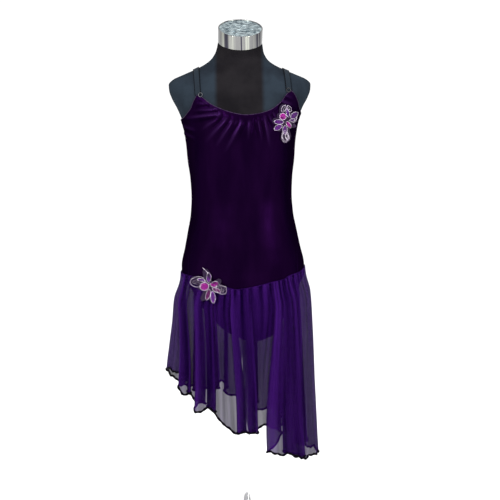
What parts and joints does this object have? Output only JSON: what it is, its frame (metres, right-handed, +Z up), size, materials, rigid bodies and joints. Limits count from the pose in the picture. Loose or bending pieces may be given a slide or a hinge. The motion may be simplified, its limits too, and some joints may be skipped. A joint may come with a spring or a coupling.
{
  "type": "skirted leotard on a dress form",
  "caption": "Camisole leotard with a sheer skirt of diagonal hem and flower appliques, on a limbless dress form with a pole and round base.",
  "frame": {"origin": "centre of the base's underside, on the floor", "axes": "+Z up, the front of the garment faces -Y, the wearer's left is +X"},
  "size_m": [0.3661, 0.3037, 1.2376],
  "materials": {
    "form_jersey": "black knitted jersey drawn tight over the form",
    "bright_metal": "polished metal",
    "stretch_cloth": "dark plum stretch knit with a soft sheen",
    "elastic": "narrow dark elastic with a fine rib",
    "sheer_cloth": "see-through purple chiffon with a dark rolled hem",
    "sequins": "silver, purple and magenta sequins and beads on a thin backing"
  },
  "bodies": {
    "root": {"form_torso": "form_jersey", "neck_cap": "bright_metal", "stand_pole": "bright_metal", "stand_hub": "bright_metal", "stand_base": "bright_metal", "leotard_front": "stretch_cloth", "leotard_back": "stretch_cloth", "strap_right": "elastic", "strap_left": "elastic", "strap_ring_right": "bright_metal", "strap_ring_left": "bright_metal", "skirt_front": "sheer_cloth", "skirt_back": "sheer_cloth", "applique_shoulder": "sequins", "applique_hip": "sequins"}
  },
  "joints": []
}
